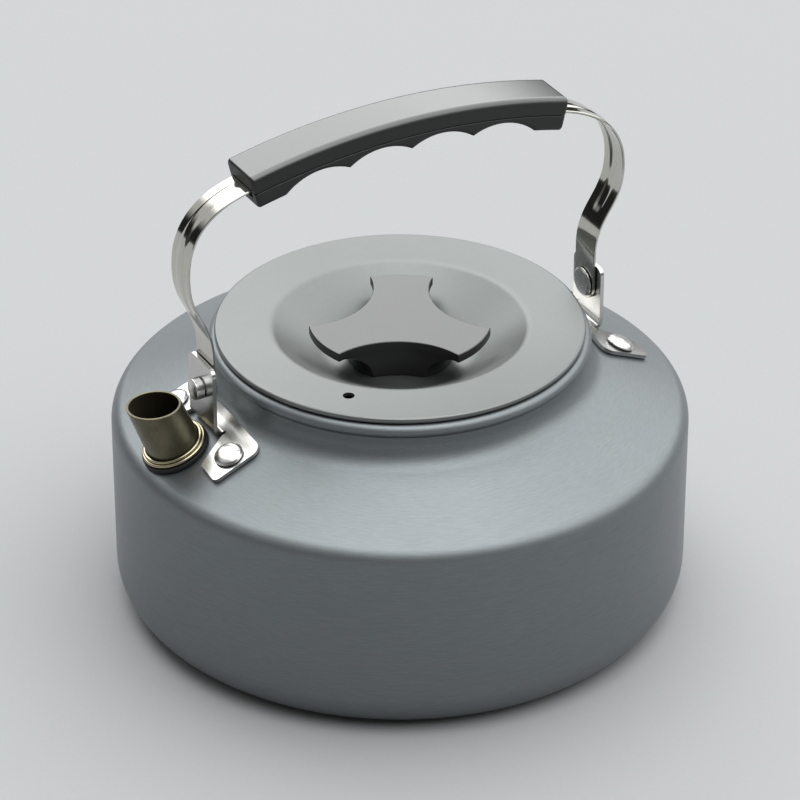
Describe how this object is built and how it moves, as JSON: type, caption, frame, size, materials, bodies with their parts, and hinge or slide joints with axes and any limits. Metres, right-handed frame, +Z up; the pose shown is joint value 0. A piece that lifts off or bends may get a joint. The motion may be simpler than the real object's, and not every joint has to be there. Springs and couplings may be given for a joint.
{
  "type": "camping kettle",
  "caption": "Squat round camping kettle with a short tube spout, a lift-off lid with a recessed lobed knob, and a folding bail handle with a moulded grip.",
  "frame": {"origin": "centre of the base on the surface it stands on", "axes": "+Z up, the spout on the -X side, the bail's hinge axis along X"},
  "size_m": [0.1781, 0.175, 0.1616],
  "materials": {
    "body": "hard anodised, fine turned grain",
    "lid": "hard anodised, satin",
    "spout": "dark anodised, satin",
    "collar": "bright dipped",
    "gasket": "matt silicone",
    "bracket": "polished stainless",
    "strap": "polished stainless",
    "rivet": "polished",
    "grip": "satin black moulded",
    "knob": "satin black moulded",
    "insert": "machined",
    "screw": "plain stainless"
  },
  "bodies": {
    "kettle": {"kettle_body": "body", "spout_tube": "spout", "spout_collar": "collar", "spout_gasket": "gasket", "bracket_left": "bracket", "bracket_right": "bracket", "foot_rivet_1": "rivet", "foot_rivet_2": "rivet", "foot_rivet_3": "rivet", "foot_rivet_4": "rivet", "pivot_rivet_left": "rivet", "pivot_rivet_right": "rivet"},
    "bail": {"bail_strap": "strap", "grip_upper": "grip", "grip_lower": "grip"},
    "lid": {"lid_shell": "lid", "lid_knob": "knob", "knob_insert": "insert", "knob_washer": "screw", "knob_screw": "screw"}
  },
  "joints": [
    {"name": "bail_fold", "type": "hinge", "parent": "kettle", "child": "bail", "pos_m": [0, 0, 0.0864], "axis": [1, 0, 0], "range_deg": [-92, 92]},
    {"name": "lid_lift", "type": "slide", "parent": "kettle", "child": "lid", "axis": [0, 0, 1], "range_m": [0, 0.045]}
  ]
}
